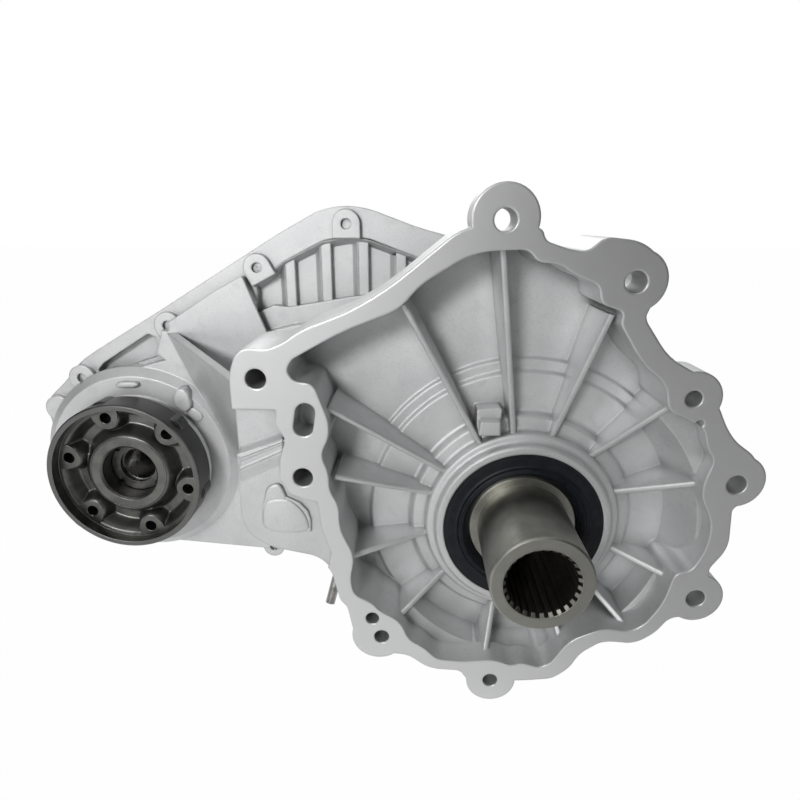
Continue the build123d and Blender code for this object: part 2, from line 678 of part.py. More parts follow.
# Ball bearings: (name, bore radius, outer radius, y0, y1, balls, axis)
bearing_list = [
    ("input_bearing", journal_r, input_bearing_r, input_bearing_y0, input_bearing_y1, 13, A),
    ("sleeve_front_bearing", 27.5, 45.0, 117.0, 128.0, 14, A),
    ("sleeve_rear_bearing", 27.5, 45.0, 162.0, 173.0, 14, A),
    ("front_output_bearing", 22.5, 37.5, front_bearing_y0, front_bearing_y1, 12, F),
    ("front_output_rear_bearing", 20.0, 34.0, 160.0, 175.0, 12, F),
    ("rear_output_bearing", 20.0, 40.0, rear_bearing_y0, rear_bearing_y1, 9, A),
]
for name, bore_r, outer_r, y0, y1, count, at in bearing_list:
    with BuildPart() as outer:
        outer_race(bore_r, outer_r, y0, y1, at)
    outer.part.label = name + "_outer"
    export_step(outer.part, "parts/" + name + "_outer.step")
    with BuildPart() as inner:
        inner_race(bore_r, outer_r, y0, y1, at)
    inner.part.label = name + "_inner"
    export_step(inner.part, "parts/" + name + "_inner.step")
    with BuildPart() as balls:
        ball_set(bore_r, outer_r, y0, y1, count, at)
    balls.part.label = name + "_balls"
    export_step(balls.part, "parts/" + name + "_balls.step")

# Input shaft with its internal spline, and the planet carrier on its rear end
with BuildPart() as input_shaft:
    turned(
        [
            (spline_minor_r, tube_front_y), (tube_r - 1.0, tube_front_y), (tube_r, tube_front_y + 1.0),
            (tube_r, journal_y0), (journal_r - 1.2, journal_y0), (journal_r, journal_y0 + 1.2),
            (journal_r, 49.0), (36.0, 49.0), (36.0, 54.0), (24.0, 58.0), (24.0, 106.0), (16.4, 110.0),
            (16.4, 215.0), (0, 215.0), (0, 206.0), (9.0, 206.0), (9.0, 60.0), (16.0, 56.0),
            (16.0, spline_y1 + 3), (spline_minor_r, spline_y1),
        ]
    )
    with BuildSketch(Plane.XZ.offset(-spline_y1)) as slots:
        with PolarLocations(spline_major_r - 1.05, spline_teeth):
            Rectangle(2.5, 2.1)
    extrude(slots.sketch, amount=spline_y1 - tube_front_y + 1, dir=(0, -1, 0), mode=Mode.SUBTRACT)
    turned(
        [
            (0, tube_front_y - 1), (spline_major_r + 0.3, tube_front_y - 1),
            (spline_major_r + 0.3, tube_front_y + 0.2), (spline_minor_r - 0.1, tube_front_y + 2.1),
            (0, tube_front_y + 2.1),
        ],
        mode=Mode.SUBTRACT,
    )
    turned([(15.6, 213.0), (17, 213.0), (17, 214.6), (15.6, 214.6)], mode=Mode.SUBTRACT)
input_shaft.part.label = "input_shaft"
export_step(input_shaft.part, "parts/input_shaft.step")

with BuildPart() as planet_carrier:
    tube(52.0, 29.0, 176.5, 182.0)
    tube(52.0, 16.4, 204.5, 213.0)
    for i in range(planet_count):
        a0 = 30.0 + 120.0 * i
        with BuildSketch(Plane.XZ.offset(-206)) as post:
            with BuildLine():
                out_a, out_m, out_b = [polar(50.5, radians(a0 + d)) for d in (-24, 0, 24)]
                in_a, in_m, in_b = [polar(30.0, radians(a0 + d)) for d in (-9, 0, 9)]
                ThreePointArc(out_a, out_m, out_b)
                Line(out_b, in_b)
                ThreePointArc(in_b, in_m, in_a)
                Line(in_a, out_a)
            make_face()
        extrude(post.sketch, amount=26, dir=(0, -1, 0))
        disc(7.0, 175, 214, polar(carrier_r, radians(90 + 120 * i)), Mode.SUBTRACT)
planet_carrier.part.label = "planet_carrier"
export_step(planet_carrier.part, "parts/planet_carrier.step")

with BuildPart() as planet_pins:
    for i in range(planet_count):
        disc(7.0, 176.5, 213.0, polar(carrier_r, radians(90 + 120 * i)))
planet_pins.part.label = "planet_pins"
export_step(planet_pins.part, "parts/planet_pins.step")

# Differential gears
sun_phase = 0.0
for i in range(planet_count):
    line = 90.0 + 120.0 * i
    phase = next_phase(sun_phase, sun_teeth, planet_teeth, line)
    with BuildPart() as planet:
        spot = polar(carrier_r, radians(line))
        gear_teeth(diff_module, planet_teeth, phase, spot, 184.0, 184.0 + planet_width, diff_backlash)
        disc(7.05, 180, 205, spot, Mode.SUBTRACT)
    planet.part.label = "planet_gear_" + str(i + 1)
    export_step(planet.part, "parts/planet_gear_" + str(i + 1) + ".step")

first_phase = next_phase(sun_phase, sun_teeth, planet_teeth, 90.0)
planet_pitch = 360.0 / planet_teeth
offset = (first_phase - 90.0 + planet_pitch / 2) % planet_pitch - planet_pitch / 2
ring_phase = 90.0 + offset * planet_teeth / ring_teeth
with BuildPart() as ring_gear:
    tube(ring_gear_r, 57.6, 183.0, 222.0)
    tube(57.7, 50.0, 183.0, 203.0)
    tube(57.7, 20.0, 215.5, 222.0)
    ring_pitch_r = diff_module * ring_teeth / 2
    space = gear_sketch(
        diff_module, ring_teeth, ring_phase, A, ring_pitch_r + 1.25 * diff_module,
        ring_pitch_r - 0.95 * diff_module, diff_backlash / 2,
    )
    extrude(space.moved(Location((0, 203.5, 0))), amount=21, dir=(0, -1, 0), mode=Mode.SUBTRACT)
ring_gear.part.label = "ring_gear"
export_step(ring_gear.part, "parts/ring_gear.step")

# Drive gear on its sleeve, with the sun gear cut on the sleeve's rear end
line_1 = degrees(atan2(idler_z, idler_x))
line_2 = degrees(atan2(front_axis_z - idler_z, front_axis_x - idler_x))
idler_phase = next_phase(line_1, drive_teeth, idler_teeth, line_1)
driven_phase = next_phase(idler_phase, idler_teeth, driven_teeth, line_2)
with BuildPart() as drive_gear:
    gear_teeth(gear_module, drive_teeth, line_1, A, gear_y0, gear_y1, gear_backlash)
    disc(27.5, 116.5, 174.0)
    disc(32.0, 128.0, 162.0)
    disc(22.5, 174.0, sun_y0 + 1)
    gear_teeth(diff_module, sun_teeth, sun_phase, A, sun_y0, sun_y1, diff_backlash)
    disc(17.5, 110, 210, A, Mode.SUBTRACT)
    turned([(36, gear_y0 - 1), (48, gear_y0 - 1), (46, gear_y0 + 6), (38, gear_y0 + 6)], mode=Mode.SUBTRACT)
    turned([(36, gear_y1 + 1), (48, gear_y1 + 1), (46, gear_y1 - 6), (38, gear_y1 - 6)], mode=Mode.SUBTRACT)
drive_gear.part.label = "drive_gear"
export_step(drive_gear.part, "parts/drive_gear.step")

# Idler gear on two ball bearings and a fixed pin
with BuildPart() as idler_gear:
    gear_teeth(gear_module, idler_teeth, idler_phase, I, gear_y0, gear_y1, gear_backlash)
    disc(44.0, idler_y0, idler_y1, I)
    disc(34.0, idler_y0 - 1, idler_y1 + 1, I, Mode.SUBTRACT)
    for i in range(6):
        a = radians(60 * i)
        disc(9.0, gear_y0 - 1, gear_y1 + 1, (I[0] + 59 * cos(a), I[1] + 59 * sin(a)), Mode.SUBTRACT)
idler_gear.part.label = "idler_gear"
export_step(idler_gear.part, "parts/idler_gear.step")

with BuildPart() as idler_bearing_outers:
    for y0, y1 in idler_bearings:
        outer_race(20.0, 34.0, y0, y1, I)
idler_bearing_outers.part.label = "idler_bearing_outers"
export_step(idler_bearing_outers.part, "parts/idler_bearing_outers.step")

with BuildPart() as idler_bearing_inners:
    for y0, y1 in idler_bearings:
        inner_race(20.0, 34.0, y0, y1, I)
idler_bearing_inners.part.label = "idler_bearing_inners"
export_step(idler_bearing_inners.part, "parts/idler_bearing_inners.step")

with BuildPart() as idler_bearing_balls:
    for y0, y1 in idler_bearings:
        ball_set(20.0, 34.0, y0, y1, 12, I)
idler_bearing_balls.part.label = "idler_bearing_balls"
export_step(idler_bearing_balls.part, "parts/idler_bearing_balls.step")

with BuildPart() as idler_pin:
    disc(20.0, 114.5, 167.5, I)
    disc(8.0, 113, 169, I, Mode.SUBTRACT)
idler_pin.part.label = "idler_pin"
export_step(idler_pin.part, "parts/idler_pin.step")

# Front output: driven gear on a hollow shaft, companion flange and its nut
with BuildPart() as driven_gear:
    gear_teeth(gear_module, driven_teeth, driven_phase, F, gear_y0, gear_y1, gear_backlash)
    disc(30.0, 131.5, 159.5, F)
    disc(22.5, 131, 160, F, Mode.SUBTRACT)
    turned([(34, gear_y0 - 1), (48, gear_y0 - 1), (46, gear_y0 + 6), (36, gear_y0 + 6)], F, Mode.SUBTRACT)
    turned([(34, gear_y1 + 1), (48, gear_y1 + 1), (46, gear_y1 - 6), (36, gear_y1 - 6)], F, Mode.SUBTRACT)
driven_gear.part.label = "driven_gear"
export_step(driven_gear.part, "parts/driven_gear.step")

with BuildPart() as front_output_shaft:
    turned(
        [
            (12.5, hub_seat_y), (17.0, hub_seat_y), (17.0, 114.8), (22.5, 114.8), (22.5, 159.0),
            (20.0, 160.0),
            (20.0, 174.5), (7.0, 174.5), (7.0, 146.0), (12.5, 143.0),
        ],
        F,
    )
front_output_shaft.part.label = "front_output_shaft"
export_step(front_output_shaft.part, "parts/front_output_shaft.step")

with BuildPart() as front_output_flange:
    turned(
        [
            (companion_lip_r, companion_y0), (companion_r - 1.0, companion_y0),
            (companion_r, companion_y0 + 1.0),
            (companion_r, companion_y1 - 1.0), (companion_r - 1.0, companion_y1), (50.0, companion_y1),
            (46.0, 102.0), (output_hub_r, 102.0), (output_hub_r, 114.8), (17.0, 114.8), (17.0, hub_seat_y),
            (19.5, hub_seat_y), (19.5, companion_seat_y + 1.5), (21.0, companion_seat_y),
            (27.0, companion_seat_y),
            (29.5, dish_floor_y), (46.0, dish_floor_y), (48.0, dish_floor_y - 3), (48.0, companion_seat_y),
            (companion_lip_r, companion_seat_y),
        ],
        F,
    )
    for i in range(6):
        a = radians(companion_hole_phase + 60 * i)
        c = (F[0] + companion_pcd / 2 * cos(a), F[1] + companion_pcd / 2 * sin(a))
        rim = (F[0] + 46 * cos(a), F[1] + 46 * sin(a))
        hull_plate([(c[0], c[1], 8.0), (rim[0], rim[1], 9.5)], companion_seat_y, dish_floor_y + 1)
    for i in range(6):
        a = radians(companion_hole_phase + 60 * i)
        c = (F[0] + companion_pcd / 2 * cos(a), F[1] + companion_pcd / 2 * sin(a))
        disc(companion_hole_r, 80, 104, c, Mode.SUBTRACT)
front_output_flange.part.label = "front_output_flange"
export_step(front_output_flange.part, "parts/front_output_flange.step")

with BuildPart() as front_flange_nut:
    tube(19.0, 13.0, hub_seat_y - 4.5, hub_seat_y, F)
    for i in range(4):
        a = radians(45 + 90 * i)
        disc(2.2, hub_seat_y - 5, hub_seat_y - 2, (F[0] + 19 * cos(a), F[1] + 19 * sin(a)), Mode.SUBTRACT)
front_flange_nut.part.label = "front_flange_nut"
export_step(front_flange_nut.part, "parts/front_flange_nut.step")

# Rear output: shaft, three-arm flange and nut
with BuildPart() as rear_output_shaft:
    turned([(0, 215.8), (20.0, 215.8), (20.0, 248.0), (17.0, 248.0), (17.0, rear_nut_y),
            (13.0, rear_nut_y), (13.0, 282.0),
            (12.0, 283.0), (0, 283.0)])
rear_output_shaft.part.label = "rear_output_shaft"
export_step(rear_output_shaft.part, "parts/rear_output_shaft.step")

with BuildPart() as rear_output_flange:
    disc(rear_hub_r, 249.0, rear_flange_y1)
    for i in range(3):
        a = radians(90 + 120 * i)
        lobe = (rear_pcd / 2 * cos(a), rear_pcd / 2 * sin(a), 14.0)
        hull_plate([(0, 0, 30.0), lobe], rear_flange_y0, rear_flange_y1)
    for i in range(3):
        a = radians(90 + 120 * i)
        disc(rear_hole_r, 260, 280, (rear_pcd / 2 * cos(a), rear_pcd / 2 * sin(a)), Mode.SUBTRACT)
    disc(17.0, 248, 280, A, Mode.SUBTRACT)
    disc(24.0, rear_nut_y, 280, A, Mode.SUBTRACT)
rear_output_flange.part.label = "rear_output_flange"
export_step(rear_output_flange.part, "parts/rear_output_flange.step")

with BuildPart() as rear_flange_nut:
    with BuildSketch(Plane.XZ.offset(-(rear_nut_y + 11))) as sk:
        RegularPolygon(18.0, 6, major_radius=False)
    extrude(sk.sketch, amount=10.0, dir=(0, -1, 0))
    disc(22.0, rear_nut_y, rear_nut_y + 2.5)
    disc(13.0, rear_nut_y - 1, rear_nut_y + 13, A, Mode.SUBTRACT)
rear_flange_nut.part.label = "rear_flange_nut"
export_step(rear_flange_nut.part, "parts/rear_flange_nut.step")

# Fasteners, plugs and the vent nipple
with BuildPart() as case_bolts:
    hex_bolts(case_bolt_spots, 146.0, 118.5, bolt_r, 12.0, 6.0, bolt_washer_r)
case_bolts.part.label = "case_bolts"
export_step(case_bolts.part, "parts/case_bolts.step")

with BuildPart() as case_dowels:
    for spot in case_dowel_spots:
        disc(4.0, 123.0, 139.5, spot)
case_dowels.part.label = "case_dowels"
export_step(case_dowels.part, "parts/case_dowels.step")

with BuildPart() as extension_bolts:
    spots = [polar(extension_bolt_r, radians(22.5 + 45 * i)) for i in range(8)]
    hex_bolts(spots, extension_y0 + 10, 166.0, bolt_r, 12.0, 6.0, 7.5)
extension_bolts.part.label = "extension_bolts"
export_step(extension_bolts.part, "parts/extension_bolts.step")

for name, spot in (("fill_plug", (-196.0, 40.0)), ("drain_plug", (-120.0, -56.0))):
    with BuildPart() as plug:
        disc(9.0, 161.0, 171.0, spot)
        disc(12.5, 171.0, 174.0, spot)
        with BuildSketch(Plane.XZ.offset(-176)) as sk:
            with Locations(spot):
                RegularPolygon(4.0, 6, major_radius=False)
        extrude(sk.sketch, amount=8.0, dir=(0, -1, 0), mode=Mode.SUBTRACT)
    plug.part.label = name
    export_step(plug.part, "parts/" + name + ".step")

with BuildPart() as carrier_circlip:
    tube(20.0, 15.6, 213.0, 214.6)
carrier_circlip.part.label = "carrier_circlip"
export_step(carrier_circlip.part, "parts/carrier_circlip.step")

with BuildPart() as input_bearing_clip:
    tube(input_bearing_r + 2.0, 46.0, 49.3, 51.3)
input_bearing_clip.part.label = "input_bearing_clip"
export_step(input_bearing_clip.part, "parts/input_bearing_clip.step")

# Vent nipple under the bell: a short tube with a barb
nipple_start = Vector(-112.0, 38.0, -36.0)
nipple_end = Vector(-119.0, 30.0, -62.0)
with BuildPart() as vent_nipple:
    with BuildSketch(Plane(origin=nipple_start, z_dir=nipple_end - nipple_start)) as sk:
        Circle(3.0)
        Circle(1.6, mode=Mode.SUBTRACT)
    extrude(sk.sketch, amount=(nipple_end - nipple_start).length)
vent_nipple.part.label = "vent_nipple"
export_step(vent_nipple.part, "parts/vent_nipple.step")
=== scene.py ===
# %% [markdown]
# # A transfer case, dressed in Blender
#
# The mechanical model comes from CAD: castings, shafts, gears, bearings, bolts. It arrives
# as triangle meshes in metres, each in its real place. This notebook adds what CAD leaves
# out: the grain of a blasted casting, worn edges, cutter marks on a milled face, oil-dark
# steel, and a few small cast details worked out with numpy.
#
# Axes: X to the right and Z up as the camera sees the case, Y from the gearbox side to the
# rear output. The origin is the centre of the bell's milled face, on the input axis.

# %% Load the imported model
import math

import bpy
import numpy as np
from mathutils import Matrix, Vector


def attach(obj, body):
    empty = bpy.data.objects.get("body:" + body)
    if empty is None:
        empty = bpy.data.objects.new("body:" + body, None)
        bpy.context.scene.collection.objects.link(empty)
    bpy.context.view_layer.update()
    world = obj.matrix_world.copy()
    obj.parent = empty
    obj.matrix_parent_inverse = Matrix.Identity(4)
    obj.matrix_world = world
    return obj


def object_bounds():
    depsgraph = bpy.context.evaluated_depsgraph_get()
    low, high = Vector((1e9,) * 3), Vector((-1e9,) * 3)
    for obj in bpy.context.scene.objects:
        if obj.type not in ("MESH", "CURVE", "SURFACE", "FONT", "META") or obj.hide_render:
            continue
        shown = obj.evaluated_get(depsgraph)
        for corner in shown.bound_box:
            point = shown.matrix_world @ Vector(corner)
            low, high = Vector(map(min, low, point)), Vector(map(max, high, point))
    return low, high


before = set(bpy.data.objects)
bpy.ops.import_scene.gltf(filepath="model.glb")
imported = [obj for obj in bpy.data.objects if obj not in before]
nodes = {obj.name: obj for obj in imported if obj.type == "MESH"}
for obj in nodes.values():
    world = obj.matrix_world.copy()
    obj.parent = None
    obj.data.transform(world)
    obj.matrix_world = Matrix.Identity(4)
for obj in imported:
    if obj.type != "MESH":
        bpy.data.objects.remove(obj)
cad_box = [list(corner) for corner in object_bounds()]
MM = 0.001
print("nodes:", len(nodes), "box:", [[round(v, 3) for v in corner] for corner in cad_box])

# %% [markdown]
# ## Camera
#
# A camera is a place, three directions and a focal length. These came from the photo's
# circles: a round flange seen as an ellipse tells how its plane lies, and several of them
# together fix the lens. The view is close, 0.3 m in front of the milled face, and looks
# down by 17 degrees, which is why the near tube looks so big. A camera looks along its own
# minus Z, so the matrix takes right, up and back as its columns.

# %% Camera
EYE = Vector((-66.14, -287.82, 175.73)) * MM
RIGHT = Vector((0.9997, 0.0235, 0.0))
DOWN = Vector((0.0070, -0.2985, -0.9544))
AHEAD = Vector((-0.0225, 0.9541, -0.2985))
SENSOR_MM = 36.0
FOCAL_PX, FRAME_PX = 577.0, 800.0
LENS_MM = FOCAL_PX / FRAME_PX * SENSOR_MM

lens = bpy.data.cameras.new("studio_camera")
lens.sensor_width = SENSOR_MM
lens.lens = LENS_MM
lens.clip_start, lens.clip_end = 0.01, 50.0
camera = bpy.data.objects.new("studio_camera", lens)
bpy.context.scene.collection.objects.link(camera)
turn = Matrix((RIGHT, -DOWN, -AHEAD)).transposed()
camera.rotation_mode = "QUATERNION"
camera.rotation_quaternion = turn.to_quaternion()
camera.location = EYE
bpy.context.scene.camera = camera
print("lens", round(LENS_MM, 3), "mm")

# %% [markdown]
# ## Shader arithmetic
#
# A material is a graph of nodes. Written out node by node it gets long, so one small class
# wraps an output socket and lets Python's own + - * and ** add the Math nodes. `1 - mask`
# also works, because the reflected forms of + - * are there. Every other node comes from
# `node`, which takes the type, the settings and what its sockets get.

# %% Wire and Book
class Wire:
    """One output socket. Arithmetic on it adds Math nodes to its book."""

    def __init__(self, book, socket):
        self.book, self.socket = book, socket

    def math(self, kind, *values):
        return self.book.node("ShaderNodeMath", {"operation": kind}, dict(enumerate(values)))

    def __add__(self, other):
        return self.math("ADD", self, other)

    def __radd__(self, other):
        return self.math("ADD", other, self)

    def __sub__(self, other):
        return self.math("SUBTRACT", self, other)

    def __rsub__(self, other):
        return self.math("SUBTRACT", other, self)

    def __mul__(self, other):
        return self.math("MULTIPLY", self, other)

    def __rmul__(self, other):
        return self.math("MULTIPLY", other, self)

    def __pow__(self, other):
        return self.math("POWER", self, other)

    def ramp(self, low, high, to_low=0.0, to_high=1.0):
        """Smooth step: to_low below low, to_high above high, an S curve between."""
        return self.book.node(
            "ShaderNodeMapRange", {"interpolation_type": "SMOOTHSTEP"},
            {0: self, 1: low, 2: high, 3: to_low, 4: to_high},
        )

    def band(self, centre, half, soft):
        """1 where the value is within half of centre, falling to 0 over soft."""
        return self.math("ABSOLUTE", self - centre).ramp(half, half + soft, 1.0, 0.0)


class Book:
    """The node tree of one material or world."""

    def __init__(self, tree):
        self.tree = tree
        tree.nodes.clear()

    def node(self, kind, settings=None, sockets=None, out=0):
        made = self.tree.nodes.new(kind)
        for name, value in (settings or {}).items():
            setattr(made, name, value)
        for name, value in (sockets or {}).items():
            if isinstance(value, Wire):
                self.tree.links.new(value.socket, made.inputs[name])
            else:
                made.inputs[name].default_value = value
        return Wire(self, made.outputs[out]) if len(made.outputs) else made

    def blend(self, share, one, other):
        """Colour: one where share is 0, other where it is 1."""
        sockets = {0: share, 6: one, 7: other}
        return self.node("ShaderNodeMix", {"data_type": "RGBA"}, sockets, out=2)

    def dot(self, one, other):
        """Cosine of the angle between two directions."""
        kind = {"operation": "DOT_PRODUCT"}
        return self.node("ShaderNodeVectorMath", kind, {0: one, 1: other}, out="Value")

    def noise(self, size, detail, rough, at):
        """Cloudy noise whose lumps are about size metres wide."""
        return self.node(
            "ShaderNodeTexNoise", None,
            {"Vector": at, "Scale": 1.0 / size, "Detail": detail, "Roughness": rough},
        )

    def place(self):
        """Object coordinates, which are the row frame in metres."""
        return self.node("ShaderNodeTexCoord", out="Object")

    def split(self, vector):
        """The x, y and z of a vector."""
        made = self.node("ShaderNodeSeparateXYZ", None, {0: vector}).socket.node
        return [Wire(self, made.outputs[i]) for i in range(3)]


def grey(value, warm=0.0):
    """A grey with a little warmth (positive) or coolness (negative)."""
    return (value * (1 + warm), value, value * (1 - warm), 1.0)


print("shader helpers ready")

# %% [markdown]
# ## Light, floor and background
#
# The photo is a cut-out on plain white. A world that is white for the camera and in
# reflections keeps metal bright without flooding the object with light. Cast aluminium
# shows its shape by what it mirrors, so reflections get darker to the right and to the far
# left, like black cards in a studio, and one soft lamp stands at the front left. Its light
# leaves the shadows of the ribs and of the tube on the web. A second lamp stands behind, for
# views of the back.

# %% World
bpy.context.scene.view_settings.view_transform = "Standard"
world = bpy.data.worlds.new("studio_world")
bpy.context.scene.world = world
world.use_nodes = True
book = Book(world.node_tree)
sight = book.node("ShaderNodeLightPath", out="Is Camera Ray")
rays = sight.socket.node
gloss = Wire(book, rays.outputs["Is Glossy Ray"])
through = Wire(book, rays.outputs["Is Transmission Ray"])
heading = book.node("ShaderNodeTexCoord", out="Generated")
AMBIENT = 0.09
RIGHT_CARD = Vector((0.72, -0.68, 0.10)).normalized()
LEFT_CARD = Vector((-0.85, -0.50, -0.10)).normalized()


def toward(side):
    """Cosine of the angle between a ray's heading and a side."""
    return book.dot(heading, side)


right_dark = toward(RIGHT_CARD).ramp(0.30, 0.90, 0.72, 0.01)
left_dark = toward(LEFT_CARD).ramp(0.25, 0.80, 1.0, 0.10)
mirrored = right_dark * left_dark
seen = sight + gloss * (1 - sight) * mirrored + through
strength = seen + (1 - sight) * (1 - gloss) * (1 - through) * AMBIENT
backdrop = book.node("ShaderNodeBackground", None, {"Color": (1, 1, 1, 1), "Strength": strength})
book.node("ShaderNodeOutputWorld", None, {"Surface": backdrop})
print("world ready")

# %% Lamps
def soft_lamp(name, place, target, size, watts):
    """A square area lamp that looks at target."""
    data = bpy.data.lights.new(name, "AREA")
    data.shape, data.size, data.energy = "SQUARE", size, watts
    lamp = bpy.data.objects.new(name, data)
    bpy.context.scene.collection.objects.link(lamp)
    lamp.location = place
    lamp.rotation_mode = "QUATERNION"
    lamp.rotation_quaternion = (Vector(target) - Vector(place)).to_track_quat("-Z", "Y")


CENTRE = (-0.11, 0.12, 0.03)
soft_lamp("key_lamp", (-0.56, -1.08, 0.50), CENTRE, 0.30, 8.2)
soft_lamp("back_lamp", (-0.2, 1.25, 0.9), CENTRE, 0.8, 6.0)
print("lamps ready")

# %% Floor
FLOOR_Z = cad_box[0][2] - 0.5 * MM
FLOOR_HALF = 6.0
floor_mesh = bpy.data.meshes.new("floor")
ROUND = [(-1, -1), (1, -1), (1, 1), (-1, 1)]
corners = [(x * FLOOR_HALF, y * FLOOR_HALF, FLOOR_Z) for x, y in ROUND]
floor_mesh.from_pydata(corners, [], [(0, 1, 2, 3)])
floor = bpy.data.objects.new("floor", floor_mesh)
bpy.context.scene.collection.objects.link(floor)
paper = bpy.data.materials.new("floor_paper")
paper.use_nodes = True
book = Book(paper.node_tree)
rays = book.node("ShaderNodeLightPath", out="Is Camera Ray").socket.node
direct = Wire(book, rays.outputs["Is Camera Ray"])
gloss = Wire(book, rays.outputs["Is Glossy Ray"])
matte = book.node("ShaderNodeBsdfDiffuse", None, {"Color": grey(0.86)})
white = book.node("ShaderNodeEmission", None, {"Color": (1, 1, 1, 1), "Strength": 1.0})
east, north, _ = book.split(book.place())
card = (east * 0.8 - north * 0.6).ramp(-0.10, 0.24, 0.68, 0.0)
glow = direct * 0.985 + gloss * (1 - direct) * card
both = book.node("ShaderNodeMixShader", None, {0: glow, 1: matte, 2: white})
book.node("ShaderNodeOutputMaterial", None, {"Surface": both})
floor_mesh.materials.append(paper)
print("floor at z =", round(FLOOR_Z, 4))

# %% [markdown]
# ## Finishes
#
# Every metal here shares one recipe: a colour that drifts a little, a roughness that drifts
# with it, a fine bump, and edges that look rounded. The Bevel node gives the rounding: it
# blends the normals of faces that meet within a radius, so a sharp CAD edge catches a
# highlight as a worn or cast one does. Where that blended normal differs from the true one
# there is an edge, and the same difference serves as a mask for brighter, rubbed metal.

# %% A metal finish
def finish(name, make):
    """A new material. make(book) returns the values for the Principled shader's sockets."""
    material = bpy.data.materials.new(name)
    material.use_nodes = True
    book = Book(material.node_tree)
    shader = book.node("ShaderNodeBsdfPrincipled", None, make(book))
    book.node("ShaderNodeOutputMaterial", None, {"Surface": shader})
    return material


def rounded(book, radius):
    """(blended normal, edge mask): the mask is 0 on flat ground and rises at edges."""
    soft = book.node("ShaderNodeBevel", {"samples": 6}, {"Radius": radius})
    true = book.node("ShaderNodeNewGeometry", out="True Normal")
    return soft, (1 - book.dot(soft, true)).ramp(0.01, 0.25)


def painted_corner_shade(book, reach):
    """Mask for painted corner shade: 0 in the open, 1 deep in a corner."""
    open_sky = book.node(
        "ShaderNodeAmbientOcclusion", {"samples": 6}, {"Distance": reach}, out="AO"
    )
    return (1 - open_sky).ramp(0.15, 0.85)


def bumped(book, normal, height, depth, strength):
    """The normal, tilted by the slope of height; depth is its full height in metres."""
    return book.node(
        "ShaderNodeBump", None,
        {"Strength": strength, "Distance": depth, "Height": height, "Normal": normal},
    )


print("finish recipe ready")

# %% [markdown]
# ## Blasted casting with one milled face
#
# The housings are pressure castings, blasted to an even silver grain. The bell's face at
# y = 0 was milled to seal against the gearbox: it is flatter, greyer and less sparkling.
# One material does both, with a mask that is 1 within a fraction of a millimetre of y = 0.

# %% Casting
def casting(milled):
    def make(book):
        at = book.place()
        x, y, _ = book.split(at)
        normal, edge = rounded(book, 1.6 * MM)
        corner = painted_corner_shade(book, 12 * MM)
        grain = book.noise(0.9 * MM, 3.0, 0.6, at)
        pits = book.noise(0.28 * MM, 1.0, 0.5, at)
        drift = book.noise(38 * MM, 3.0, 0.55, at)
        flow = book.noise(9 * MM, 2.0, 0.5, at)
        face = y.band(0.0, 0.15 * MM, 0.2 * MM) if milled else x * 0.0
        cast_tone = book.blend(drift.ramp(0.3, 0.7), grey(0.70, -0.008), grey(0.78, -0.004))
        cast_tone = book.blend(flow.ramp(0.55, 0.8) * 0.30, cast_tone, grey(0.54, -0.012))
        cast_tone = book.blend(edge * (1 - corner) * 0.5, cast_tone, grey(0.82, 0.004))
        cast_tone = book.blend(grain.ramp(0.5, 0.75) * 0.30, cast_tone, grey(0.44, -0.012))
        # Painted shade: corners and hollows, found by ambient occlusion, are darkened to a dark
        # grey.
        cast_tone = book.blend(corner * 0.68, cast_tone, grey(0.26, -0.01))
        swirl = book.node(
            "ShaderNodeTexWave", {"wave_type": "RINGS", "rings_direction": "Y"},
            {"Vector": at, "Scale": 420.0, "Distortion": 1.5, "Detail": 2.0, "Detail Scale": 3.0},
            out="Fac",
        )
        mill_tone = book.blend(swirl * 0.2 + drift * 0.8, grey(0.75, -0.005), grey(0.81, -0.005))
        colour = book.blend(face, cast_tone, mill_tone)
        rough = (0.50 + drift * 0.10 - edge * 0.12) * (1 - face) + face * (0.40 + swirl * 0.02)
        rise = (grain * 0.75 + pits * 0.25) * (1 - face * 0.85) + swirl * face * 0.04
        return {
            "Base Color": colour, "Metallic": 0.74 + face * 0.10, "Roughness": rough,
            "Normal": bumped(book, normal, rise, 0.22 * MM, 0.55),
        }
    return make


CAST_BELL = finish("blasted_casting_milled_face", casting(True))
CAST_PLAIN = finish("blasted_casting", casting(False))
print("casting finishes ready")

# %% [markdown]
# ## Steels
#
# The input tube is ground and lightly phosphated: a satin olive grey with fine rings round
# its axis and a paler, chamfered end, with painted shade inside its bore. The companion
# flange is a dark forging with turned faces, rubbed brighter at its edges. Its outer side
# carries a painted dark reflection and its corners painted shade. Rings round an axis come
# from the distance to that axis, so a wave over radius or over y gives cutter marks.

# %% Tube
def radius_about(x, z, centre):
    """Distance from an axis along Y through centre (x, z)."""
    east, up = x - centre[0], z - centre[1]
    return (east * east + up * up) ** 0.5


